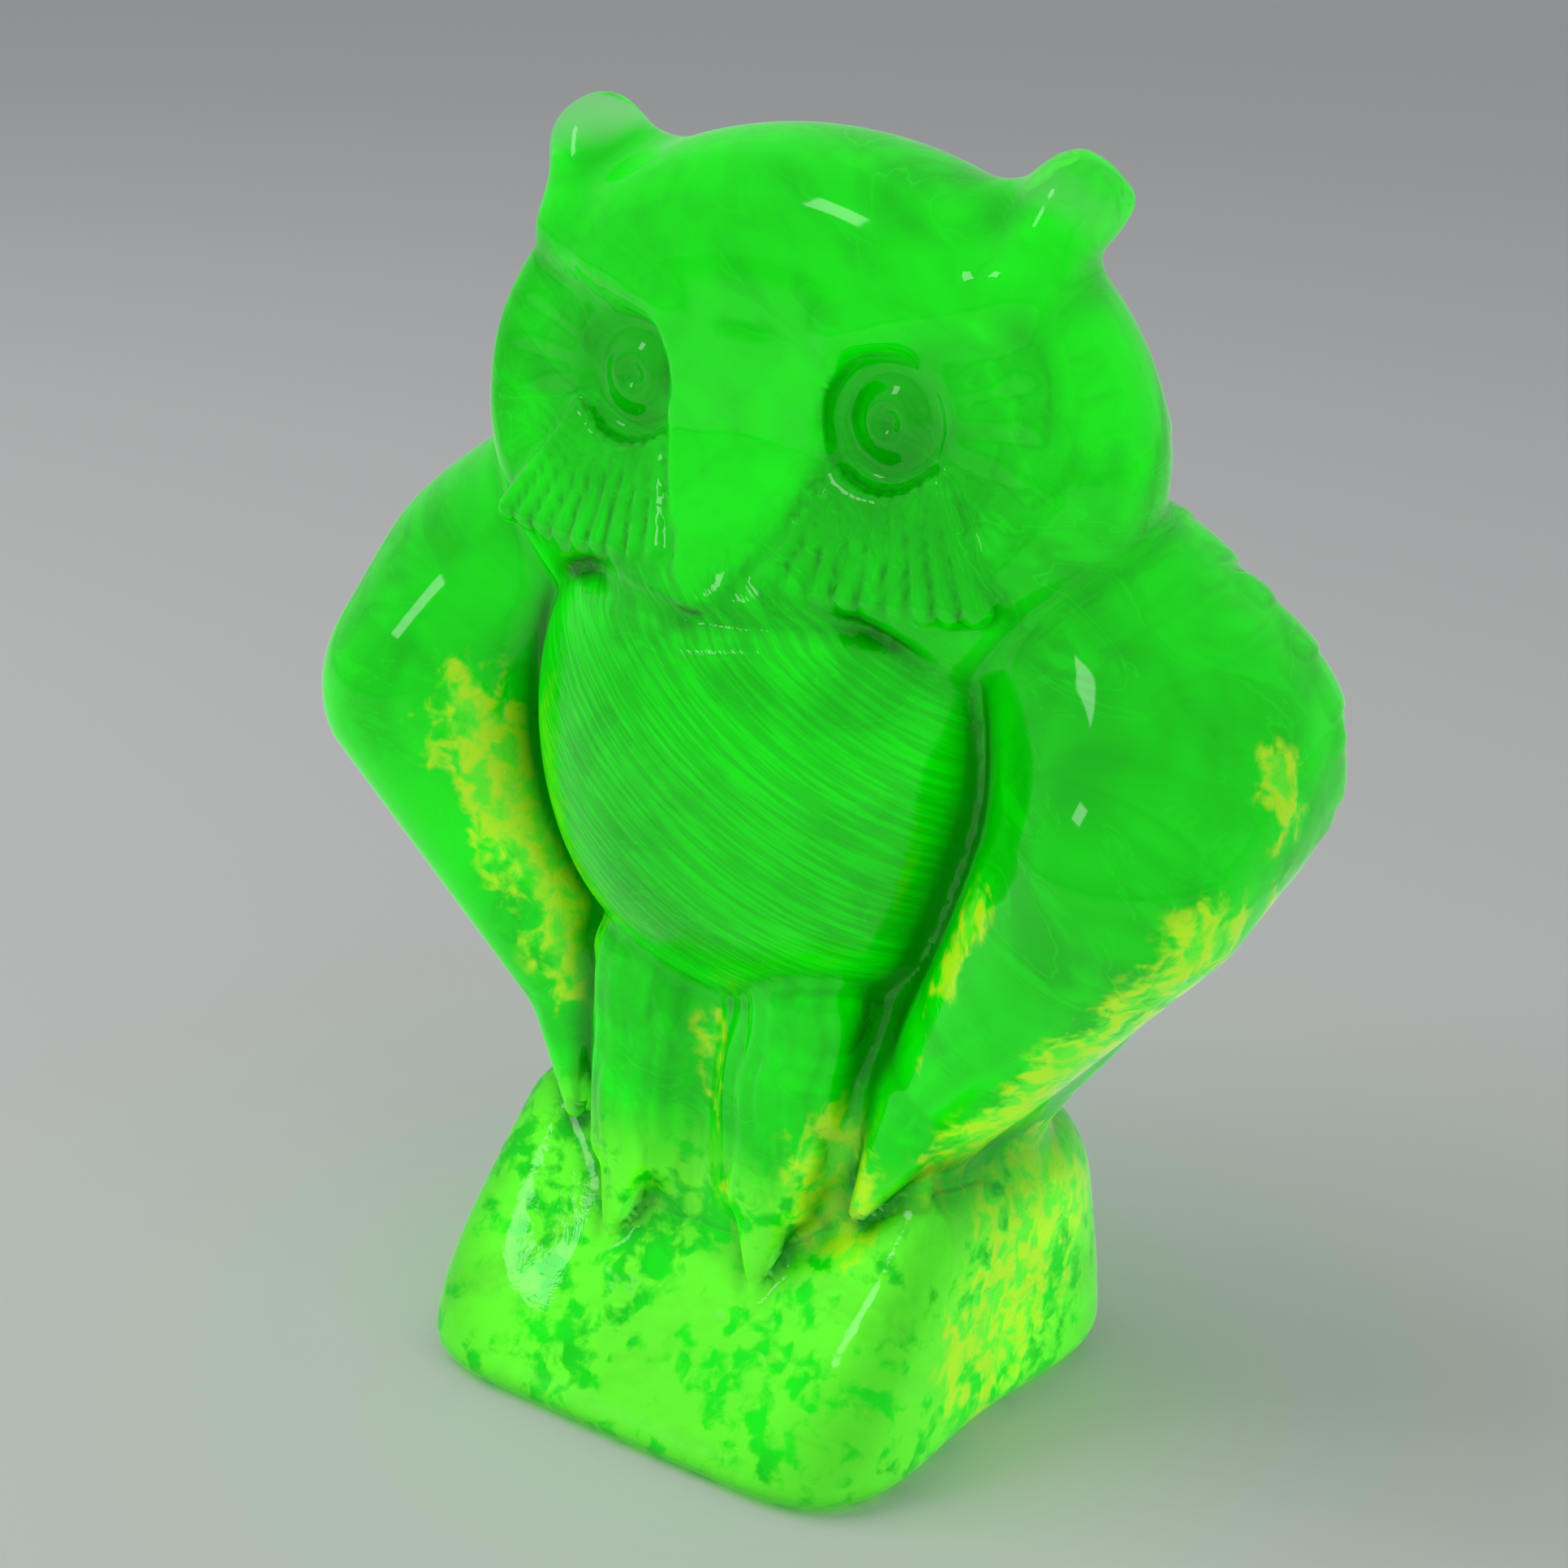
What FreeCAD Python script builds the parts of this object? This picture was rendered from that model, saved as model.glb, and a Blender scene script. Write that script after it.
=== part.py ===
import FreeCAD, Part
import math
import os

# A solid pressed-glass owl standing on a rounded square block.
# Millimetres, +Z up. The origin is the centre of the flat underside of the block.
# The owl looks along -Y, and its own left side is +X. Both sides are alike, so every
# dimension below is given for the +X side and mirrored.
#
# The owl is one gob of glass, so it is one solid: each region is a simple round form,
# and all of them are fused. The face is pressed flat, with a dish round each eye.
# A taper is (start, end, radius at the start, radius at the end).
# An ellipsoid is (centre, radii).

# ---- Block under the feet -------------------------------------------------------
BLOCK_HALF_WIDTH = 20.8          # widest, at the bottom
BLOCK_TOP_HALF_WIDTH = 18.9
BLOCK_HEIGHT = 19.4
BLOCK_CORNER_RADIUS = 7.5
BLOCK_BOTTOM_ROUNDING = 2.4      # radius of the edge round the underside
BLOCK_TOP_ROUNDING = 1.5
BLOCK_FRONT_START = 6.0          # in front of this the top falls away
BLOCK_FRONT_ANGLE = 46.0         # degrees below level
CUTTER_SIZE = 60.0

# ---- Body -----------------------------------------------------------------------
BACK = ((0.0, 5.0, 46.0), (28.0, 10.5, 28.0))
TRUNK = ((0.0, 2.5, 22.0), (14.5, 12.5, 15.0))
BREAST = ((0.0, -0.8, 44.8), (17.6, 15.5, 16.4))
BREAST_TOP = ((0.0, -0.8, 52.0), (17.9, 13.2, 13.5))
TROUSERS = ((0.0, -1.5, 22.0), (12.5, 9.6, 14.5))
TAIL = ((0.0, 9.0, 33.0), (0.0, 13.0, 13.0), 7.5, 5.5)
LEG = ((6.4, -7.2, 31.0), (5.8, -9.4, 18.0), 3.6, 2.7)
LEG_POINT = ((5.8, -9.4, 18.0), (6.4, -11.4, 10.6), 2.7, 0.5)

# ---- Wings: rods side by side that close up towards the tip -------------------------
WING_FRONT = ((28.9, -5.6, 45.3), (10.4, -3.2, 18.3), 7.9, 2.8)
WING_MIDDLE = ((27.9, -1.3, 48.2), (11.8, 1.5, 19.5), 8.9, 3.6)
WING_REAR = ((26.6, 3.1, 51.2), (13.2, 6.2, 20.8), 10.1, 4.0)
WING_NECK = ((25.8, 2.9, 52.0), (21.4, 3.2, 57.3), 9.9, 9.3)
WING_POINT = ((15.0, -5.2, 25.0), (12.4, -8.2, 17.6), 3.4, 0.7)

# ---- Head -----------------------------------------------------------------------
SKULL = ((0.0, -0.1, 68.2), (25.8, 14.0, 20.0))
HORN = ((12.0, 0.4, 79.9), (18.9, 0.1, 85.3), 4.5, 2.9)
HORN_POINT = ((18.9, 0.3, 85.5), (21.9, 0.6, 85.0), 2.6, 0.6)
FACE_Y = -8.4                    # the front of the head is flat
FACE_LEAN = 0.36                 # how far it comes forward per millimetre downwards
FACE_LEAN_TOP = 68.5             # below this height
FACE_DISH = ((14.0, -10.5, 71.4), (10.2, 3.6, 7.6))
CHIN_HOLLOW = ((0.0, -13.5, 54.7), (21.0, 8.5, 6.2))
EYE_SOCKET = ((10.2, -7.3, 71.2), (4.3, 1.9, 4.3))
EYEBALL = ((10.2, -5.6, 71.2), (3.1, 1.9, 3.1))
NOSE_PROUD = 0.5                 # how far the nose stands out from the flat face
NOSE_HALF_WIDTH = 6.3
NOSE_BACK = -2.0
NOSE_TOP = 71.0
BEAK_TIP_HEIGHT = 58.2
BEAK_SIDE = (4.1, 63.5)          # a point halfway along the beak's bowed side
CHEEK = ((11.4, -7.6, 63.6), (8.6, 3.6, 3.7))

LEVEL = 0.01                     # an edge within this of the ground lies on it


def ellipsoid(centre, radii):
    stretch = FreeCAD.Matrix()
    stretch.scale(*radii)
    form = Part.makeSphere(1.0).transformGeometry(stretch)
    form.translate(FreeCAD.Vector(*centre))
    return form


def ball_middle(pole, rim, radius, centre_height=0.0):
    """Point of a ball's outline halfway between its pole and its rim."""
    centre = FreeCAD.Vector(0, 0, centre_height)
    halfway = (pole - centre) + (rim - centre)
    return centre + halfway.normalize() * radius


def taper(start, end, start_radius, end_radius):
    """Round rod with ball ends, whose radius changes from start to end."""
    foot = FreeCAD.Vector(*start)
    axis = FreeCAD.Vector(*end) - foot
    length = axis.Length
    lift = (start_radius - end_radius) / length
    flat = math.sqrt(1.0 - lift * lift)
    low = FreeCAD.Vector(start_radius * flat, 0, start_radius * lift)
    high = FreeCAD.Vector(end_radius * flat, 0, length + end_radius * lift)
    bottom = FreeCAD.Vector(0, 0, -start_radius)
    tip = FreeCAD.Vector(0, 0, length + end_radius)
    low_middle = ball_middle(bottom, low, start_radius)
    high_middle = ball_middle(tip, high, end_radius, length)
    profile = Part.Wire([
        Part.Arc(bottom, low_middle, low).toShape(),
        Part.makeLine(low, high),
        Part.Arc(high, high_middle, tip).toShape(),
        Part.makeLine(tip, bottom),
    ])
    rod = Part.Face(profile).revolve(FreeCAD.Vector(), FreeCAD.Vector(0, 0, 1), 360.0)
    turn = FreeCAD.Rotation(FreeCAD.Vector(0, 0, 1), axis)
    rod.Placement = FreeCAD.Placement(foot, turn)
    return rod


def both_sides(form):
    return [form, form.mirror(FreeCAD.Vector(), FreeCAD.Vector(1, 0, 0))]


def rounded_square(half_width, corner_radius, height):
    """Closed outline of a level square with round corners."""
    straight = half_width - corner_radius
    diagonal = straight + corner_radius / math.sqrt(2.0)
    points = [(half_width, -straight), (half_width, straight),
              (diagonal, diagonal), (straight, half_width)]
    edges = []
    for angle in (0.0, 90.0, 180.0, 270.0):
        turn = FreeCAD.Rotation(FreeCAD.Vector(0, 0, 1), angle)
        a, b, c, d = [turn.multVec(FreeCAD.Vector(x, y, height)) for x, y in points]
        edges.append(Part.makeLine(a, b))
        edges.append(Part.Arc(b, c, d).toShape())
    return Part.Wire(edges)


def block():
    """Rounded square block, flared downwards, its top sloping down at the front."""
    sides = Part.makeLoft([
        rounded_square(BLOCK_HALF_WIDTH, BLOCK_CORNER_RADIUS, 0.0),
        rounded_square(BLOCK_TOP_HALF_WIDTH, BLOCK_CORNER_RADIUS, BLOCK_HEIGHT),
    ], True, True)
    cutter = Part.makeBox(2 * CUTTER_SIZE, CUTTER_SIZE, CUTTER_SIZE,
                          FreeCAD.Vector(-CUTTER_SIZE, -CUTTER_SIZE, 0))
    cutter.rotate(FreeCAD.Vector(), FreeCAD.Vector(1, 0, 0), BLOCK_FRONT_ANGLE)
    cutter.translate(FreeCAD.Vector(0, -BLOCK_FRONT_START, BLOCK_HEIGHT))
    form = sides.cut(cutter)
    bottom_edges = [edge for edge in form.Edges if edge.BoundBox.ZMax < LEVEL]
    form = form.makeFillet(BLOCK_BOTTOM_ROUNDING, bottom_edges)
    top_edges = [edge for edge in form.Edges if edge.BoundBox.ZMin > BLOCK_HEIGHT - LEVEL]
    return form.makeFillet(BLOCK_TOP_ROUNDING, top_edges)


def face_cutter(proud=0.0):
    """Everything in front of the face, which is upright and then leans forward."""
    top, bottom, front = 2 * CUTTER_SIZE, 0.0, -CUTTER_SIZE
    face = FACE_Y - proud
    foot = face - FACE_LEAN * (FACE_LEAN_TOP - bottom)
    outline = [(face, top), (face, FACE_LEAN_TOP), (foot, bottom), (front, bottom), (front, top)]
    corners = [FreeCAD.Vector(-CUTTER_SIZE, y, z) for y, z in outline + outline[:1]]
    return Part.Face(Part.makePolygon(corners)).extrude(FreeCAD.Vector(2 * CUTTER_SIZE, 0, 0))


def nose():
    """Wedge between the eyes that narrows to the point of the beak."""
    tip = FreeCAD.Vector(0, NOSE_BACK, BEAK_TIP_HEIGHT)
    x, z = BEAK_SIDE
    right_side = Part.Arc(tip, FreeCAD.Vector(x, NOSE_BACK, z),
                          FreeCAD.Vector(NOSE_HALF_WIDTH, NOSE_BACK, NOSE_TOP)).toShape()
    left_side = Part.Arc(tip, FreeCAD.Vector(-x, NOSE_BACK, z),
                         FreeCAD.Vector(-NOSE_HALF_WIDTH, NOSE_BACK, NOSE_TOP)).toShape()
    top = Part.makeLine(right_side.Vertexes[-1].Point, left_side.Vertexes[-1].Point)
    outline = Part.Wire(Part.__sortEdges__([right_side, top, left_side]))
    wedge = Part.Face(outline).extrude(FreeCAD.Vector(0, -CUTTER_SIZE / 2.0, 0))
    return wedge.cut(face_cutter(NOSE_PROUD))


def head():
    form = ellipsoid(*SKULL).cut(face_cutter())
    for hollow in both_sides(ellipsoid(*FACE_DISH)) + [ellipsoid(*CHIN_HOLLOW)]:
        form = form.cut(hollow)
    form = form.multiFuse([nose()] + both_sides(ellipsoid(*CHEEK)))
    for socket in both_sides(ellipsoid(*EYE_SOCKET)):
        form = form.cut(socket)
    return form.multiFuse(both_sides(ellipsoid(*EYEBALL)))


def glass_owl():
    forms = [head(), taper(*TAIL)]
    forms += [ellipsoid(*form) for form in (BACK, TRUNK, BREAST, BREAST_TOP, TROUSERS)]
    for form in (WING_FRONT, WING_MIDDLE, WING_REAR, WING_NECK, WING_POINT,
                 LEG, LEG_POINT, HORN, HORN_POINT):
        forms += both_sides(taper(*form))
    return block().multiFuse(forms).removeSplitter()


os.makedirs("parts", exist_ok=True)
solid = glass_owl()
solid.exportStep("parts/glass_owl.step")
print("glass_owl", solid.isValid(), len(solid.Solids), len(solid.Faces), round(solid.Volume))
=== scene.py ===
import math

import bpy
import numpy as np
import openvdb
from mathutils import Matrix, Vector
from mathutils.bvhtree import BVHTree


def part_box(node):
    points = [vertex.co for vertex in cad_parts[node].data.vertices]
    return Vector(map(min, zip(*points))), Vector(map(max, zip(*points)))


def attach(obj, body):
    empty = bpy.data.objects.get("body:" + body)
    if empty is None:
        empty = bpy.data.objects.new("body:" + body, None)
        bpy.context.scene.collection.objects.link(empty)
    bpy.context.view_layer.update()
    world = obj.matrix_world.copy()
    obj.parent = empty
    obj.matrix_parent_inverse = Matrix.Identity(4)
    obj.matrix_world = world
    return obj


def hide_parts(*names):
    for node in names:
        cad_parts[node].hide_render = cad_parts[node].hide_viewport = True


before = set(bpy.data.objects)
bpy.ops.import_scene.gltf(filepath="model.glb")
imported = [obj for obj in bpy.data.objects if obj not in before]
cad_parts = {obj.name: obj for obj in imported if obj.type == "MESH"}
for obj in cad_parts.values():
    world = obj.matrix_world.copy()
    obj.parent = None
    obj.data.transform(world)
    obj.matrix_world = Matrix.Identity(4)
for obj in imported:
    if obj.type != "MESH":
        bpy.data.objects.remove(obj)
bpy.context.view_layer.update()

# A solid pressed-glass owl on a rounded block, fluorescing green.
# Its form is written as one distance field, in millimetres of an owl OWL_HEIGHT tall.
# Below zero is glass. Both sides are alike, so the field is given the distance from
# the middle plane, |x|. The owl looks along -Y.
OWL_HEIGHT = 88.2
low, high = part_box("glass_owl")
MM = (high.z - low.z) / OWL_HEIGHT

# ---- Block ----------------------------------------------------------------------
BLOCK_HALF_WIDTH = 20.8
BLOCK_TAPER = 1.9                # how much narrower it is at the top
BLOCK_TAPER_START = 1.0          # height at which it begins to narrow
BLOCK_HEIGHT = 19.5
BLOCK_FRONT_START = 6.0          # in front of this the top slopes down
BLOCK_FRONT_SLOPE = 1.05
BLOCK_FRONT_DIP = 2.6            # how much further back the slope starts in the middle
BLOCK_FRONT_MIDDLE = 6.6         # half the width of that middle
BLOCK_TOP_EVENNESS = 0.75        # makes the field of the sloping top about a distance
BLOCK_SIDE_HOLLOW = 2.0          # how far the sides are drawn in near the bottom
BLOCK_SQUARENESS = 4.0
BLOCK_TOP_ROUNDING = 5.0
BLOCK_BOTTOM_ROUNDING = 2.4

# ---- Body -----------------------------------------------------------------------
BACK = ((0.0, 5.0, 46.0), (28.0, 10.5, 28.0))
TRUNK = ((0.0, 2.5, 22.0), (14.5, 12.5, 15.0))
BREAST = ((0.0, -0.8, 44.8), (17.6, 15.5, 16.4))
BREAST_TOP = ((0.0, -0.8, 52.0), (17.9, 13.2, 13.5))
CHIN_CREASE_Z = 57.5             # a crease across the breast, just under the beak
CHIN_CREASE_RISE = 0.08          # per millimetre sideways
CHIN_CREASE_WIDTH = 1.5
CHIN_CREASE_DEPTH = 0.6
BREAST_FRONT = 3.0               # only glass this far forward of the middle has the crease
TAIL = ((0.0, 9.0, 33.0), (0.0, 13.0, 13.0), 7.5, 5.5)
TROUSERS = ((0.0, -1.5, 22.0), (12.5, 9.6, 14.5))
LEG = ((6.6, -6.8, 31.0), (6.0, -9.0, 18.0), 4.2, 3.2)
LEG_GAP = ((0.0, -10.8, 31.0), (0.0, -12.6, 14.0), 2.0, 2.6)
LEG_POINT = ((5.8, -9.4, 18.0), (6.4, -11.4, 10.6), 2.7, 0.5)
WING_FRONT = ((28.9, -5.65, 45.3), (10.4, -3.2, 18.3), 7.9, 2.8)
WING_REAR = ((26.6, 3.1, 51.2), (13.2, 6.2, 20.8), 10.15, 4.0)
WING_POINT = ((15.0, -5.2, 25.0), (12.4, -8.2, 17.6), 3.4, 0.7)
WING_NECK = ((26.6, 3.1, 51.2), (21.4, 3.2, 57.3), 10.15, 9.45)

# ---- Head -----------------------------------------------------------------------
SKULL = ((0.0, -0.1, 68.2), (25.8, 14.0, 20.0))
FACE_Y = -8.4                    # the front of the head is nearly flat
FACE_LEAN = 0.36                 # how far it comes forward per millimetre downwards
FACE_LEAN_TOP = 68.5             # below this height
FACE_ROUNDING = 3.5
HORN = ((12.0, 0.4, 79.9), (18.9, 0.1, 85.3), 4.5, 2.9)
HORN_SIDE = ((17.6, -4.1, 80.6), (18.8, -1.2, 84.8), 2.1, 2.7)
BROW = ((17.6, -4.2, 79.8), (6.8, -7.3, 76.2), 1.5, 1.3)
HORN_POINT = ((18.9, 0.3, 85.6), (21.2, 1.0, 85.6), 2.5, 0.6)
FACE_DISC_REACH = 13.0           # a sunken disc round each eye, cut off by nose and brow
FACE_DISC_DEPTH = 1.6
FACE_DISC_RIM = 1.8              # how wide its slope is at the nose
FACE_DISC_BROW = 3.2             # at the brow
FACE_DISC_FADE = 5.5             # and everywhere else
CHIN_HOLLOW = ((0.0, -13.5, 54.7), (21.0, 8.5, 6.2))
NOSE_HALF_WIDTH = 6.3
NOSE_LEAN = 0.5                  # the beak comes forward more quickly than the face
NOSE_LEAN_TOP = 69.5
NOSE_LEAN_EASE = 2.0
NOSE_CROWN = 0.03                # how quickly it falls away from its middle line
NOSE_TOP = 71.0
NOSE_END = 76.0
BEAK_TIP_HEIGHT = 58.2
BEAK_NARROWING = 0.55
FACE_FRONT = 2.0                 # only glass this far forward of the middle has the discs
EYE = (10.2, -7.3, 71.2)
SOCKET_RADII = (4.2, 1.9, 4.2)
EYEBALL_INSET = 2.0
EYEBALL_RADII = (2.9, 1.9, 2.9)
PUPIL_RADII = (1.1, 0.9, 1.1)

# ---- Cheek feathers, fanned out from the rim of each eye ------------------------------
FAN_FEATHERS = 9
FAN_INNER_ROOT = (7.2, -7.1, 67.6)
FAN_OUTER_ROOT = (14.4, -6.9, 68.2)
FAN_INNER_TIP = (4.6, -10.3, 60.8)
FAN_OUTER_TIP = (18.8, -8.6, 61.0)
FAN_MIDDLE_DROP = 0.5            # how much lower the middle tips hang
FAN_ROOT_RADIUS = 0.7
FAN_TIP_RADIUS = 1.1

# ---- Feathers in shallow relief -----------------------------------------------------
FACE_RAYS = 20                   # round a whole circle; only the outer side has them
FACE_RAY_DEPTH = 0.12
FACE_RAY_REACH = (5.0, 11.5)     # from and to, out from the middle of the eye
FACE_RAY_SPREAD = 1.6            # radians above and below level
FACE_RAY_SHARPNESS = 4
SCALE_WIDTH = 5.2                # feathers of the nape, back and shoulders
SCALE_RISE = 6.4
SCALE_DEPTH = 0.6
SCALE_EDGE = 0.15                # how wide a feather's sloping edge is, as a share of its rise
SCALE_ROUNDNESS = 2.0            # of its lower end
QUILL_SPACING = 2.6              # long feathers of the wing ends and tail
QUILL_DEPTH = 0.35
QUILL_TOP = 36.0
QUILL_FADE = 5.0
QUILL_BLUNTNESS = 0.6            # below 1 their backs are flatter and the grooves sharper
PLUMAGE_START = 3.0              # how far behind the middle the feathers begin
PLUMAGE_TOP = 76.0
PLUMAGE_BOTTOM = 19.0
PLUMAGE_FADE = 4.0               # they fade in over this distance
PLUMAGE_TOP_FADE = 6.0           # and out over this one
WING_LEAN = 0.44                 # how far the long feathers splay outwards per millimetre up
WING_LEAN_START = 4.0            # further out than this
WING_LEAN_FADE = 6.0
HAIR_SPACING = 1.9               # tufts down the legs
HAIR_WAVE = 0.35
HAIR_TURN = 0.8                  # radians of that wave per millimetre down
HAIR_DEPTH = 0.2
HAIR_BOTTOM = 13.0
HAIR_FADE = 4.0
HAIR_FRONT = 4.0                 # only glass this far forward of the middle has them
FRONT_FADE = 3.0                 # whatever is only on the front fades in over this distance

# ---- Fillets ---------------------------------------------------------------------
BODY_FILLET = 6.0
TAIL_FILLET = 3.0
TROUSERS_FILLET = 2.0
LEG_FILLET = 1.6
LEG_GAP_FILLET = 1.2
WING_RODS_FILLET = 8.0
WING_NECK_FILLET = 4.0
WING_FILLET = 2.5
BREAST_FILLET = 6.0              # between its two ellipsoids
BREAST_EDGE_FILLET = 1.0         # all round it
BLOCK_FILLET = 2.5
POINT_FILLET = 0.6
HEAD_FILLET = 0.8
BROW_FILLET = 1.5
CHIN_FILLET = 0.8
FEATHER_FILLET = 0.1             # between the feathers of a fan
FAN_FILLET = 0.5
NOSE_FILLET = 0.4
NOSE_SIDE_FILLET = 0.7
BEAK_TIP_FILLET = 0.5
NOSE_END_FILLET = 1.0
SOCKET_FILLET = 1.0
EYEBALL_FILLET = 1.2
PUPIL_FILLET = 0.4
HORN_PARTS_FILLET = 1.5
HORN_FILLET = 2.5

# ---- Where the melt is yellower: from, to and how wide -------------------------------
PATCHES = (
    ((-21.5, -10.0, 46.0), (-12.5, -6.5, 28.5), 4.0),
    ((36.0, -8.0, 43.0), (18.0, -4.0, 22.0), 3.4),
    ((22.0, -10.0, 43.0), (17.0, -7.0, 30.0), 1.8),
    ((37.0, -2.0, 53.0), (34.0, 0.0, 40.0), 2.0),
    ((10.0, -8.0, 21.5), (10.5, -9.0, 17.0), 3.4),
    ((0.5, -10.5, 28.0), (1.0, -11.0, 23.0), 1.8),
    ((19.0, 6.0, 15.0), (19.5, 0.0, 8.0), 7.0),
    ((3.0, -11.0, 17.0), (-2.0, -12.0, 14.0), 1.6),
)

# ---- Mesh -----------------------------------------------------------------------
VOXEL = 0.94                     # spacing at which the field is sampled
MARGIN = 3.0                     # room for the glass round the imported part's box
BIG = 10.0                       # a distance well outside the glass
TINY = 1e-9                      # keeps a division away from zero
GRADIENT_STEP = 0.05
SETTLE_SHARE = 0.9               # how much of the way to the surface a point moves at a time
COARSE_ROUNDS = 4                # how often the points move before the mesh is refined
FINE_ROUNDS = 3                  # and after


# ---- Round forms and their soft joints ---------------------------------------------
def ellipsoid(x, y, z, centre, radii):
    a = (x - centre[0]) / radii[0]
    b = (y - centre[1]) / radii[1]
    c = (z - centre[2]) / radii[2]
    reach = np.sqrt(a * a + b * b + c * c) + TINY
    slope = np.sqrt((a / radii[0]) ** 2 + (b / radii[1]) ** 2 + (c / radii[2]) ** 2) + TINY
    return reach * (reach - 1.0) / slope


def taper(x, y, z, start, end, start_radius, end_radius):
    """Round rod whose radius changes evenly from start to end."""
    ux, uy, uz = np.subtract(end, start)
    dx, dy, dz = x - start[0], y - start[1], z - start[2]
    t = np.clip((dx * ux + dy * uy + dz * uz) / (ux * ux + uy * uy + uz * uz), 0.0, 1.0)
    from_axis = np.sqrt((dx - t * ux) ** 2 + (dy - t * uy) ** 2 + (dz - t * uz) ** 2)
    return from_axis - (start_radius + (end_radius - start_radius) * t)


def join(a, b, softness):
    """Union with a fillet about as wide as softness."""
    near = np.maximum(softness - np.abs(a - b), 0.0) / softness
    return np.minimum(a, b) - near * near * softness / 4.0


def meet(a, b, softness):
    """Only what is inside both forms, with a rounded edge."""
    return -join(-a, -b, softness)


def press(a, b, softness):
    """Takes form b out of form a, with a rounded rim."""
    return meet(a, -b, softness)


def ease(t):
    """Smooth step from 0 to 1."""
    t = np.clip(t, 0.0, 1.0)
    return t * t * (3.0 - 2.0 * t)


def in_front(y, start):
    """0 up to start millimetres forward of the middle, then rising to 1."""
    return ease((-y - start) / FRONT_FADE)


# ---- The owl ---------------------------------------------------------------------
def block(x, y, z):
    hollow = BLOCK_SIDE_HOLLOW * ease(1.0 - z / BLOCK_HEIGHT)
    hollow = hollow * ease(1.0 - np.abs(y) / BLOCK_HALF_WIDTH)
    square = (x + hollow) ** BLOCK_SQUARENESS + np.abs(y) ** BLOCK_SQUARENESS
    half_width = BLOCK_HALF_WIDTH - BLOCK_TAPER * ease((z - BLOCK_TAPER_START) / BLOCK_HEIGHT)
    middle = ease((3.0 * BLOCK_FRONT_MIDDLE - x) / (2.0 * BLOCK_FRONT_MIDDLE))
    start = BLOCK_FRONT_START - BLOCK_FRONT_DIP * middle
    fall = BLOCK_FRONT_SLOPE * np.maximum(-y - start, 0.0)
    top = (z - (BLOCK_HEIGHT - fall)) * BLOCK_TOP_EVENNESS
    form = meet(square ** (1.0 / BLOCK_SQUARENESS) - half_width, top, BLOCK_TOP_ROUNDING)
    return meet(form, -z, BLOCK_BOTTOM_ROUNDING)


def leg_hair(x, y, z):
    """How far the wavy tufts on the front of the legs stand out."""
    wave = HAIR_WAVE * np.sin(HAIR_TURN * z)
    tufts = np.abs(np.sin(np.pi * (x + wave) / HAIR_SPACING))
    return HAIR_DEPTH * tufts * in_front(y, HAIR_FRONT) * ease((z - HAIR_BOTTOM) / HAIR_FADE)


def breast(x, y, z):
    return join(ellipsoid(x, y, z, *BREAST), ellipsoid(x, y, z, *BREAST_TOP), BREAST_FILLET)


def chin_crease(x, y, z):
    """How deep the crease under the beak is."""
    away = np.abs(z - CHIN_CREASE_Z - CHIN_CREASE_RISE * x)
    return CHIN_CREASE_DEPTH * ease(1.0 - away / CHIN_CREASE_WIDTH) * in_front(y, BREAST_FRONT)


def body(x, y, z):
    form = join(ellipsoid(x, y, z, *BACK), ellipsoid(x, y, z, *TRUNK), BODY_FILLET)
    form = join(form, taper(x, y, z, *TAIL), TAIL_FILLET)
    form = join(form, ellipsoid(x, y, z, *TROUSERS), TROUSERS_FILLET)
    form = join(form, taper(x, y, z, *LEG), LEG_FILLET) - leg_hair(x, y, z)
    form = press(form, taper(x, y, z, *LEG_GAP), LEG_GAP_FILLET)
    wing = join(taper(x, y, z, *WING_FRONT), taper(x, y, z, *WING_REAR), WING_RODS_FILLET)
    wing = join(wing, taper(x, y, z, *WING_NECK), WING_NECK_FILLET)
    form = join(form, wing, WING_FILLET)
    return join(form, breast(x, y, z) + chin_crease(x, y, z), BREAST_EDGE_FILLET)


def between(start, end, t):
    """The place a share t of the way from start to end."""
    return np.add(np.multiply(start, 1.0 - t), np.multiply(end, t))


def cheek_fan(x, y, z):
    """Feathers that hang from the eye and spread towards their tips."""
    fan = np.full_like(x, BIG)
    for t in np.linspace(0.0, 1.0, FAN_FEATHERS):
        root = between(FAN_INNER_ROOT, FAN_OUTER_ROOT, t)
        tip = between(FAN_INNER_TIP, FAN_OUTER_TIP, t)
        tip[2] -= FAN_MIDDLE_DROP * math.sin(math.pi * t)
        fan = join(fan, taper(x, y, z, root, tip, FAN_ROOT_RADIUS, FAN_TIP_RADIUS), FEATHER_FILLET)
    return fan


def nose_edge(z):
    """Half the nose's width at a height."""
    rise = np.clip((z - BEAK_TIP_HEIGHT) / (NOSE_TOP - BEAK_TIP_HEIGHT), 0.0, 1.0)
    return NOSE_HALF_WIDTH * rise ** BEAK_NARROWING


def face_disc(x, y, z):
    """1 inside the sunken disc round each eye, 0 outside its rim."""
    outer, inner = BROW[0], BROW[1]
    brow = inner[2] + (x - inner[0]) * (outer[2] - inner[2]) / (outer[0] - inner[0])
    reach = np.hypot(x - EYE[0], z - EYE[2])
    shown = ease((x - nose_edge(z)) / FACE_DISC_RIM) * ease((brow - z) / FACE_DISC_BROW)
    return shown * ease((FACE_DISC_REACH - reach) / FACE_DISC_FADE) * in_front(y, FACE_FRONT)


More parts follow.
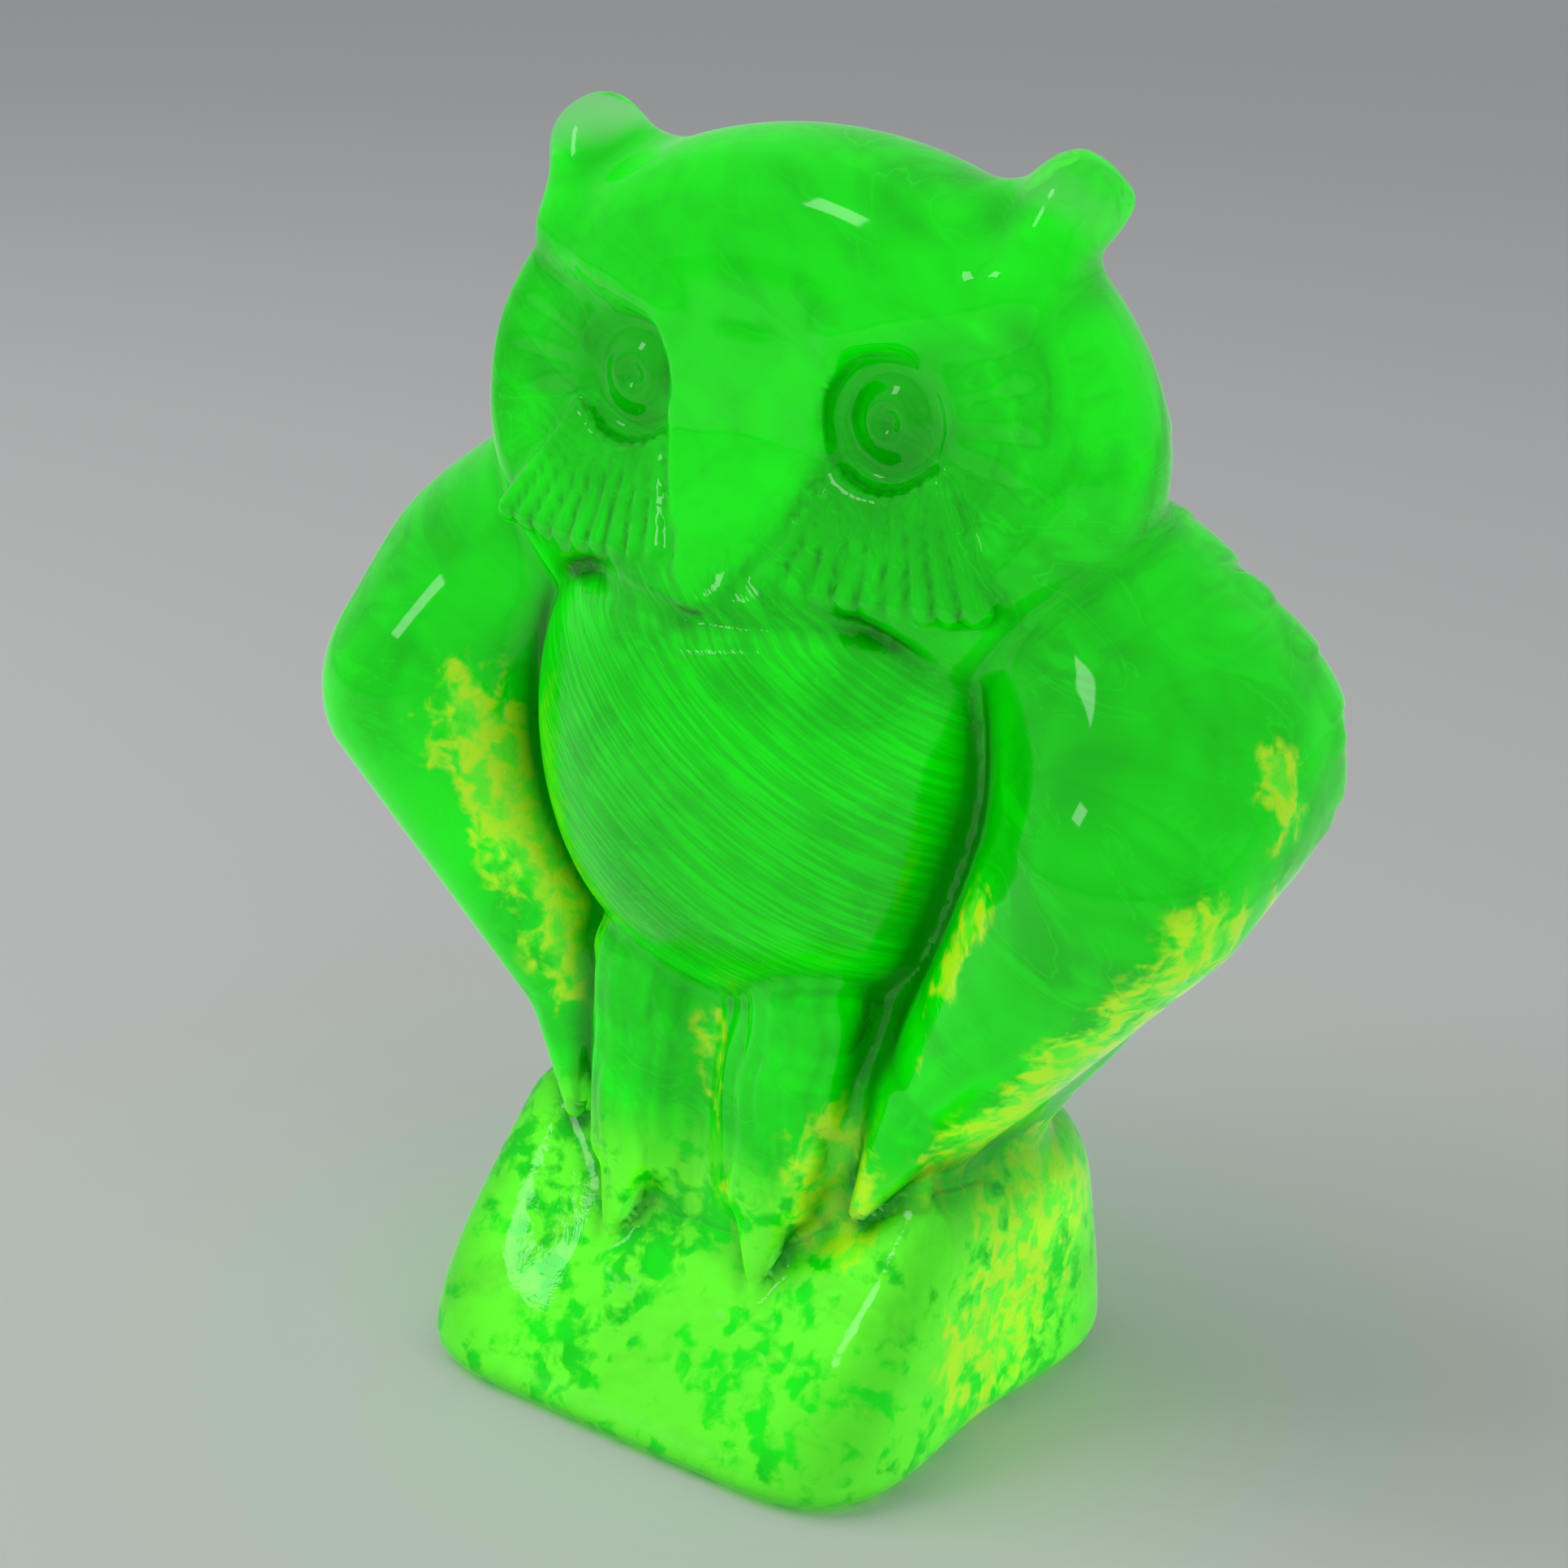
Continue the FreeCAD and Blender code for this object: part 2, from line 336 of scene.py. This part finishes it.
def face_rays(x, y, z):
    """Fine grooves that spread sideways from the eye."""
    reach = np.hypot(x - EYE[0], z - EYE[2])
    angle = np.arctan2(z - EYE[2], x - EYE[0])
    start, end = FACE_RAY_REACH
    shown = ease(reach - start) * ease(end - reach) * ease(FACE_RAY_SPREAD - np.abs(angle))
    return shown * ease(-y) * np.cos(angle * FACE_RAYS / 2.0) ** FACE_RAY_SHARPNESS


def nose(x, y, z):
    """Blunt wedge between the eyes that narrows and comes forward to the point of the beak."""
    side = x - nose_edge(z)
    drop = np.maximum(NOSE_LEAN_TOP - z, 0.0)
    lean = NOSE_LEAN * drop * drop / (drop + NOSE_LEAN_EASE)
    front = FACE_Y - lean + NOSE_CROWN * x * x - y
    form = meet(side, front, NOSE_SIDE_FILLET)
    form = meet(form, BEAK_TIP_HEIGHT - z, BEAK_TIP_FILLET)
    return meet(meet(form, z - NOSE_END, NOSE_END_FILLET), y, NOSE_END_FILLET)


def eye(form, x, y, z):
    """Presses a socket into the form, and puts an eyeball with a pupil in it."""
    form = press(form, ellipsoid(x, y, z, EYE, SOCKET_RADII), SOCKET_FILLET)
    eyeball = (EYE[0], EYE[1] + EYEBALL_INSET, EYE[2])
    form = join(form, ellipsoid(x, y, z, eyeball, EYEBALL_RADII), EYEBALL_FILLET)
    return press(form, ellipsoid(x, y, z, EYE, PUPIL_RADII), PUPIL_FILLET)


def horn(x, y, z):
    form = join(taper(x, y, z, *HORN), taper(x, y, z, *HORN_POINT), HORN_PARTS_FILLET)
    return join(form, taper(x, y, z, *HORN_SIDE), HORN_PARTS_FILLET)


def head(x, y, z):
    face = FACE_Y - FACE_LEAN * np.maximum(FACE_LEAN_TOP - z, 0.0) - y
    form = meet(ellipsoid(x, y, z, *SKULL), face, FACE_ROUNDING)
    form = join(form, taper(x, y, z, *BROW), BROW_FILLET)
    form = form + FACE_DISC_DEPTH * face_disc(x, y, z) + FACE_RAY_DEPTH * face_rays(x, y, z)
    form = press(form, ellipsoid(x, y, z, *CHIN_HOLLOW), CHIN_FILLET)
    form = join(form, cheek_fan(x, y, z), FAN_FILLET)
    form = join(form, nose(x, y, z), NOSE_FILLET)
    return join(eye(form, x, y, z), horn(x, y, z), HORN_FILLET)


def scales(across, up):
    """Overlapping round-ended feathers in staggered rows, from 0 to 1."""
    height = np.zeros_like(across)
    for stagger in (0.0, 0.5):
        column = (across / SCALE_WIDTH + stagger) % 1.0 - 0.5
        row = (up / SCALE_RISE + stagger) % 1.0 - 0.5
        inside = row + 0.5 - SCALE_ROUNDNESS * column * column
        height = np.maximum(height, (0.5 - row) * ease(inside / SCALE_EDGE))
    return height


def plumage(x, y, z):
    """How far the feathers of the back stand out, in millimetres."""
    shown = ease((y - PLUMAGE_START) / PLUMAGE_FADE) * ease((z - PLUMAGE_BOTTOM) / PLUMAGE_FADE)
    shown *= ease((PLUMAGE_TOP - z) / PLUMAGE_TOP_FADE)
    splay = WING_LEAN * (z - PLUMAGE_BOTTOM) * ease((x - WING_LEAN_START) / WING_LEAN_FADE)
    quills = np.abs(np.sin(np.pi * (x - splay) / QUILL_SPACING)) ** QUILL_BLUNTNESS
    long_part = ease((QUILL_TOP - z) / QUILL_FADE)
    return shown * ((1.0 - long_part) * SCALE_DEPTH * scales(x, z) + long_part * QUILL_DEPTH * quills)


def owl(places):
    """Distance to the glass surface in millimetres, below zero inside."""
    x, y, z = np.abs(places[..., 0]), places[..., 1], places[..., 2]
    form = join(body(x, y, z) - plumage(x, y, z), block(x, y, z), BLOCK_FILLET)
    points = np.minimum(taper(x, y, z, *LEG_POINT), taper(x, y, z, *WING_POINT))
    form = join(form, points, POINT_FILLET)
    return join(form, head(x, y, z) - plumage(x, y, z), HEAD_FILLET)


def gradient(points):
    """Unit outward direction of the surface nearest each point."""
    steps = GRADIENT_STEP * np.eye(3)
    slopes = [owl(points + step) - owl(points - step) for step in steps]
    slopes = np.stack(slopes, axis=-1)
    return slopes / (np.linalg.norm(slopes, axis=-1, keepdims=True) + TINY)


def settle(mesh, rounds):
    """Moves the mesh's points onto the surface, and gives their places."""
    points = np.empty(len(mesh.vertices) * 3)
    mesh.vertices.foreach_get("co", points)
    points = points.reshape(-1, 3)
    for _ in range(rounds):
        distance = owl(points)[:, None]
        points -= np.clip(distance, -VOXEL, VOXEL) * gradient(points) * SETTLE_SHARE
    mesh.vertices.foreach_set("co", points.ravel())
    mesh.update()
    return points


def owl_mesh():
    """The owl as a mesh in millimetres, and the places of its points."""
    corner = np.array((low.x, low.y, low.z)) / MM - MARGIN
    size = np.array((high.x - low.x, high.y - low.y, high.z - low.z)) / MM + 2 * MARGIN
    steps = [np.arange(0.0, side, VOXEL) for side in size]
    samples = np.stack(np.meshgrid(*steps, indexing="ij"), axis=-1) + corner
    volume = openvdb.FloatGrid(BIG)
    volume.copyFromArray(owl(samples).astype(np.float32))
    points, quads = volume.convertToQuads(isovalue=0.0)
    mesh = bpy.data.meshes.new("owl_glass")
    mesh.from_pydata(points * VOXEL + corner, [], quads)
    settle(mesh, COARSE_ROUNDS)
    piece = bpy.data.objects.new("owl_glass", mesh)
    bpy.context.collection.objects.link(piece)
    finer = piece.modifiers.new("finer", "SUBSURF")
    finer.levels = 1
    graph = bpy.context.evaluated_depsgraph_get()
    fine = bpy.data.meshes.new_from_object(piece.evaluated_get(graph))
    piece.modifiers.clear()
    piece.data = fine
    points = settle(fine, FINE_ROUNDS)
    fine.polygons.foreach_set("use_smooth", [True] * len(fine.polygons))
    return piece, points


# ---- What the glass looks like from place to place, and where shade is painted ---------
CREASE_REACH = (0.5, 1.6, 4.0)   # how far out to look for glass that closes in a crease, for the painted shade
CREASE_SHADE_GAIN = 0.55
FACE_DISC_SHADE = 0.6            # how dark the painted shade in the sunken disc round each eye is at most
CLEAR_THICKNESS = 6.0            # thinner than this the glow fades
CLEAR_HORN = (19.2, 0.0, 86.5)   # the ends of the horns are clear round here
CLEAR_HORN_REACH = 4.8
CLEAR_HORN_FADE = 2.4
SKIN = 0.2                       # how deep a ray starts, to miss the surface it leaves
PATCH_FADE = 1.6                 # how far a patch fades out, in its own widths
BREAST_SKIN = 0.5                # how near the breast's form its lines are drawn
BREAST_LINES_TOP = 61.0
BREAST_LINES_FADE = 1.5
BREAST_LINES_FRONT_FADE = 4.0
BLOCK_LOOK_TOP = BLOCK_HEIGHT + 3.0      # the block's mottling fades out below this
BLOCK_LOOK_FADE = 6.0


def crease_shade(places):
    """Painted shade: from 0 on open surface to 1 deep in a crease."""
    outward = gradient(places)
    closed = sum(1.0 - owl(places + reach * outward) / reach for reach in CREASE_REACH)
    return np.clip(CREASE_SHADE_GAIN * closed, 0.0, 1.0)


def thickness(piece):
    """Glass behind each point, straight in from the surface, in millimetres."""
    tree = BVHTree.FromObject(piece, bpy.context.evaluated_depsgraph_get())
    through = []
    for vertex in piece.data.vertices:
        inward = -vertex.normal
        distance = tree.ray_cast(vertex.co + inward * SKIN, inward)[3]
        through.append(distance or 0.0)
    return np.array(through)


def yellowness(places):
    """1 in the middle of a yellower patch, 0 outside it."""
    x, y, z = places.T
    share = np.zeros(len(places))
    for start, end, width in PATCHES:
        away = taper(x, y, z, start, end, 0.0, 0.0)
        share = np.maximum(share, 1.0 - away / (PATCH_FADE * width))
    return ease(share)


def breast_lines(x, y, z):
    """1 where the breast has its slanting lines."""
    near = ease(1.0 - breast(x, y, z) / BREAST_SKIN) * ease(-y / BREAST_LINES_FRONT_FADE)
    return near * ease((BREAST_LINES_TOP - z) / BREAST_LINES_FADE)


def painted_shade(places, x, y, z):
    """Painted shade: from 0 to 1 in creases and in the sunken disc round the eyes."""
    near_eye = ease((FACE_DISC_REACH - np.hypot(x - EYE[0], z - EYE[2])) / FACE_DISC_REACH)
    return np.maximum(crease_shade(places), FACE_DISC_SHADE * near_eye * face_disc(x, y, z))


def clearness(piece, x, y, z):
    """From 0 to 1 in thin glass and at the ends of the horns."""
    from_horn = np.linalg.norm(np.stack((x, y, z), axis=-1) - CLEAR_HORN, axis=-1)
    thin = ease(1.0 - thickness(piece) / CLEAR_THICKNESS)
    return np.maximum(thin, ease((CLEAR_HORN_REACH - from_horn) / CLEAR_HORN_FADE))


def store(mesh, name, values):
    mesh.attributes.new(name, "FLOAT", "POINT").data.foreach_set("value", values.astype(np.float32))


piece, points = owl_mesh()
place_xyz = (np.abs(points[:, 0]), points[:, 1], points[:, 2])
store(piece.data, "breast", breast_lines(*place_xyz))
# This attribute holds painted shade for creases and for the sunken discs round the eyes.
store(piece.data, "shade_mask", painted_shade(points, *place_xyz))
store(piece.data, "clear", clearness(piece, *place_xyz))
store(piece.data, "patch", yellowness(points))
store(piece.data, "block", ease((BLOCK_LOOK_TOP - points[:, 2]) / BLOCK_LOOK_FADE))
piece.data.transform(Matrix.Scale(MM, 4))
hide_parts("glass_owl")
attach(piece, "root")


# ---- Glass ------------------------------------------------------------------------
class Nodes:
    """Short names for building a shader."""

    def __init__(self, material):
        self.tree = material.node_tree

    def new(self, kind, settings=None, **inputs):
        node = self.tree.nodes.new("ShaderNode" + kind)
        for name, value in (settings or {}).items():
            setattr(node, name, value)
        for name, value in inputs.items():
            self.put(node.inputs[name.replace("_", " ")], value)
        return node

    def put(self, socket, value):
        if isinstance(value, bpy.types.NodeSocket):
            self.tree.links.new(value, socket)
        else:
            socket.default_value = value

    def math(self, operation, *values):
        node = self.tree.nodes.new("ShaderNodeMath")
        node.operation = operation
        for socket, value in zip(node.inputs, values):
            self.put(socket, value)
        return node.outputs[0]

    def times(self, first, second):
        return self.math("MULTIPLY", first, second)

    def attribute(self, name):
        return self.new("Attribute", {"attribute_name": name}).outputs["Fac"]

    def band(self, value, low_end, high_end):
        """0 at low_end and 1 at high_end, smooth between and level beyond."""
        node = self.new("MapRange", {"interpolation_type": "SMOOTHSTEP"})
        for name, given in (("Value", value), ("From Min", low_end), ("From Max", high_end)):
            self.put(node.inputs[name], given)
        return node.outputs["Result"]

    def mix(self, amount, first, second):
        """Two colours mixed. A Mix node keeps its colours in sockets 6 and 7."""
        node = self.new("Mix", {"data_type": "RGBA"})
        self.put(node.inputs[0], amount)
        self.put(node.inputs[6], first)
        self.put(node.inputs[7], second)
        return node.outputs[2]

    def noise(self, place, scale, detail, distortion):
        node = self.new("TexNoise", Vector=place, Scale=scale, Detail=detail, Distortion=distortion)
        return node.outputs["Fac"]

    def stretched(self, place, turn, stretch):
        """Millimetre coordinates turned and stretched, so a noise becomes streaks."""
        turned = self.new("Mapping", {"vector_type": "TEXTURE"}, Vector=place)
        turned.inputs["Rotation"].default_value = [math.radians(angle) for angle in turn]
        turned.inputs["Scale"].default_value = stretch
        return turned.outputs["Vector"]


GREEN = (0.0, 0.40, 0.0, 1.0)
DEEP_GREEN = (0.0, 0.10, 0.0, 1.0)
BRIGHT_GREEN = (0.0, 0.66, 0.0, 1.0)
PALE_GREEN = (0.12, 0.72, 0.02, 1.0)
YELLOW_GREEN = (0.48, 0.70, 0.01, 1.0)
CLEAR_TINT = (0.60, 0.97, 0.60, 1.0)
UNLIT = (0.0, 0.02, 0.0, 1.0)

# A noise is (scale per millimetre, detail, distortion). Streaks are a noise in a grain,
# which is (turn in degrees, stretch). A band is (where a share is none, where it is full).
CLOUD_NOISE = (0.07, 3.0, 0.8)
CLOUD_BAND = (0.35, 0.65)
SWIRL_GRAIN = ((0, 25, 0), (3.0, 3.0, 1.0))
SWIRL_NOISE = (0.16, 4.0, 1.5)
SWIRL_BAND = (0.52, 0.60)
SWIRL_SHARE = 0.5
VEIN_MIDDLE = 0.5                # thin lines run where the swirl has this value
VEIN_BAND = (0.012, 0.0)         # away from it
VEIN_SHARE = 0.4
FLECK_NOISE = (0.2, 6.0, 0.5)
CRUMPLE_NOISE = (0.65, 5.0, 0.4)
BLOCK_BAND = (0.41, 0.51)        # of the two together, where the block is paler
PATCH_WEIGHT = 0.30
PATCH_BAND = (0.56, 0.72)        # of the weighted patch and the two together
PATCH_EDGE_BAND = (0.0, 0.3)
PATCH_TINT_BAND = (0.40, 0.60)
STRIAE_GRAIN = ((0, 35, 0), (7.0, 7.0, 0.35))
STRIAE_NOISE = (1.0, 2.0, 0.0)
STRIAE_BAND = (0.62, 0.40)
STRIAE_SHARE = 0.3
CLEAR_TINT_SHARE = 0.9
CLEAR_UNLIT_SHARE = 0.8
GLOW_STRENGTH = 0.5
ROUGHNESS = 0.05
IOR = 1.5
TRANSMISSION = 0.45
CLEAR_TRANSMISSION = 0.95
STRIAE_RELIEF = 0.35
FLECK_RELIEF = 0.5
BUMP_STRENGTH = 0.7
BUMP_HEIGHT = 0.35               # millimetres

glass = bpy.data.materials.new("uranium_glass")
glass.use_nodes = True
n = Nodes(glass)
shader = glass.node_tree.nodes["Principled BSDF"]
metres = n.new("TexCoord").outputs["Object"]
place = n.new("VectorMath", {"operation": "SCALE"}, Vector=metres, Scale=1.0 / MM).outputs[0]
breast_part, shade_mask = n.attribute("breast"), n.attribute("shade_mask")
patch, in_block = n.attribute("patch"), n.attribute("block")
clear = n.attribute("clear")

# Soft clouds and long streaks in the melt, and ragged, crumpled yellower patches.
cloud = n.noise(place, *CLOUD_NOISE)
swirl = n.noise(n.stretched(place, *SWIRL_GRAIN), *SWIRL_NOISE)
flecks = n.noise(place, *FLECK_NOISE)
crumple = n.noise(place, *CRUMPLE_NOISE)
striae = n.noise(n.stretched(place, *STRIAE_GRAIN), *STRIAE_NOISE)

glow = n.mix(n.band(cloud, *CLOUD_BAND), GREEN, BRIGHT_GREEN)
glow = n.mix(n.times(n.band(swirl, *SWIRL_BAND), SWIRL_SHARE), glow, BRIGHT_GREEN)
veins = n.band(n.math("ABSOLUTE", n.math("SUBTRACT", swirl, VEIN_MIDDLE)), *VEIN_BAND)
glow = n.mix(n.times(veins, VEIN_SHARE), glow, BRIGHT_GREEN)
broken = n.times(n.math("ADD", flecks, crumple), 0.5)
glow = n.mix(n.times(in_block, n.band(broken, *BLOCK_BAND)), glow, PALE_GREEN)
torn = n.math("MULTIPLY_ADD", patch, PATCH_WEIGHT, broken)
in_patch = n.times(n.band(torn, *PATCH_BAND), n.band(patch, *PATCH_EDGE_BAND))
tint = n.mix(n.band(crumple, *PATCH_TINT_BAND), PALE_GREEN, YELLOW_GREEN)
glow = n.mix(in_patch, glow, tint)
lines = n.times(breast_part, n.band(striae, *STRIAE_BAND))
glow = n.mix(n.times(lines, STRIAE_SHARE), glow, DEEP_GREEN)
# Painted shade: creases and the discs round the eyes are darkened towards deep green, in the colour
# and so in the glow.
glow = n.mix(shade_mask, glow, DEEP_GREEN)

n.put(shader.inputs["Base Color"], n.mix(n.times(clear, CLEAR_TINT_SHARE), glow, CLEAR_TINT))
# Painted glow: the emission stands in for the green fluorescence, as the scene has no ultraviolet
# lamp. It carries the painted shade of the creases, and fades in thin glass and at the horn ends.
n.put(shader.inputs["Emission Color"], n.mix(n.times(clear, CLEAR_UNLIT_SHARE), glow, UNLIT))
shader.inputs["Emission Strength"].default_value = GLOW_STRENGTH
shader.inputs["Roughness"].default_value = ROUGHNESS
shader.inputs["IOR"].default_value = IOR
n.put(shader.inputs["Transmission Weight"],
      n.math("MULTIPLY_ADD", clear, CLEAR_TRANSMISSION - TRANSMISSION, TRANSMISSION))

relief = n.times(breast_part, n.times(striae, STRIAE_RELIEF))
relief = n.math("ADD", relief, n.times(in_block, n.times(flecks, FLECK_RELIEF)))
relief = n.math("ADD", relief, n.times(patch, crumple))
bump = n.new("Bump", Height=relief, Strength=BUMP_STRENGTH, Distance=BUMP_HEIGHT * MM)
n.put(shader.inputs["Normal"], bump.outputs["Normal"])
piece.data.materials.append(glass)

# ---- Floor, light and camera --------------------------------------------------------
FLOOR_SIZE = 12.0                # metres
FLOOR_GAP = 0.0001
FLOOR_COLOUR = (0.72, 0.72, 0.71, 1.0)
FLOOR_ROUGHNESS = 0.8
STUDIO_COLOUR = (0.8, 0.82, 0.85, 1.0)
STUDIO_STRENGTH = 0.45

floor_mesh = bpy.data.meshes.new("floor")
half = FLOOR_SIZE / 2
floor_mesh.from_pydata([(-half, -half, 0), (half, -half, 0), (half, half, 0), (-half, half, 0)],
                       [], [(0, 1, 2, 3)])
floor = bpy.data.objects.new("floor", floor_mesh)
floor.location.z = low.z - FLOOR_GAP
bpy.context.collection.objects.link(floor)
floor_paint = bpy.data.materials.new("pale_floor")
floor_paint.use_nodes = True
floor_shader = floor_paint.node_tree.nodes["Principled BSDF"]
floor_shader.inputs["Base Color"].default_value = FLOOR_COLOUR
floor_shader.inputs["Roughness"].default_value = FLOOR_ROUGHNESS
floor_mesh.materials.append(floor_paint)

world = bpy.data.worlds.new("studio")
world.use_nodes = True
background = world.node_tree.nodes["Background"]
background.inputs["Color"].default_value = STUDIO_COLOUR
background.inputs["Strength"].default_value = STUDIO_STRENGTH
bpy.context.scene.world = world


def soft_light(name, place, width, power, mirrored):
    """Square soft box that faces the middle of the owl. Its place and width are in owl heights."""
    height = high.z - low.z
    lamp = bpy.data.lights.new(name, "AREA")
    lamp.size = width * height
    lamp.energy = power * height * height
    holder = bpy.data.objects.new(name, lamp)
    middle = (low + high) / 2
    holder.location = middle + Vector(place) * height
    holder.rotation_euler = (middle - holder.location).to_track_quat("-Z", "Y").to_euler()
    holder.visible_glossy = mirrored
    bpy.context.collection.objects.link(holder)


soft_light("key", place=(-3.5, -3.0, 5.0), width=6.0, power=170.0, mirrored=False)
soft_light("fill", place=(5.0, -2.0, 2.5), width=6.0, power=60.0, mirrored=False)
soft_light("glint", place=(-2.5, -4.5, 4.5), width=1.1, power=14.0, mirrored=True)

CAMERA_PLACE = (110.5, -159.8, 108.5)    # millimetres
CAMERA_YAW = 34.94               # degrees
CAMERA_PITCH = 18.58             # downwards
CAMERA_ROLL = 2.72
CAMERA_LENS = 67.9
CAMERA_SENSOR = 36.0
CAMERA_CLIP = 0.01               # metres

camera_data = bpy.data.cameras.new("camera")
camera_data.sensor_width = CAMERA_SENSOR
camera_data.lens = CAMERA_LENS
camera_data.clip_start = CAMERA_CLIP
camera = bpy.data.objects.new("camera", camera_data)
turn = (Matrix.Rotation(math.radians(CAMERA_YAW), 4, "Z")
        @ Matrix.Rotation(math.radians(90.0 - CAMERA_PITCH), 4, "X")
        @ Matrix.Rotation(math.radians(CAMERA_ROLL), 4, "Z"))
camera.matrix_world = Matrix.Translation(Vector(CAMERA_PLACE) * MM) @ turn
bpy.context.collection.objects.link(camera)
bpy.context.scene.camera = camera
bpy.context.scene.view_settings.view_transform = "Standard"
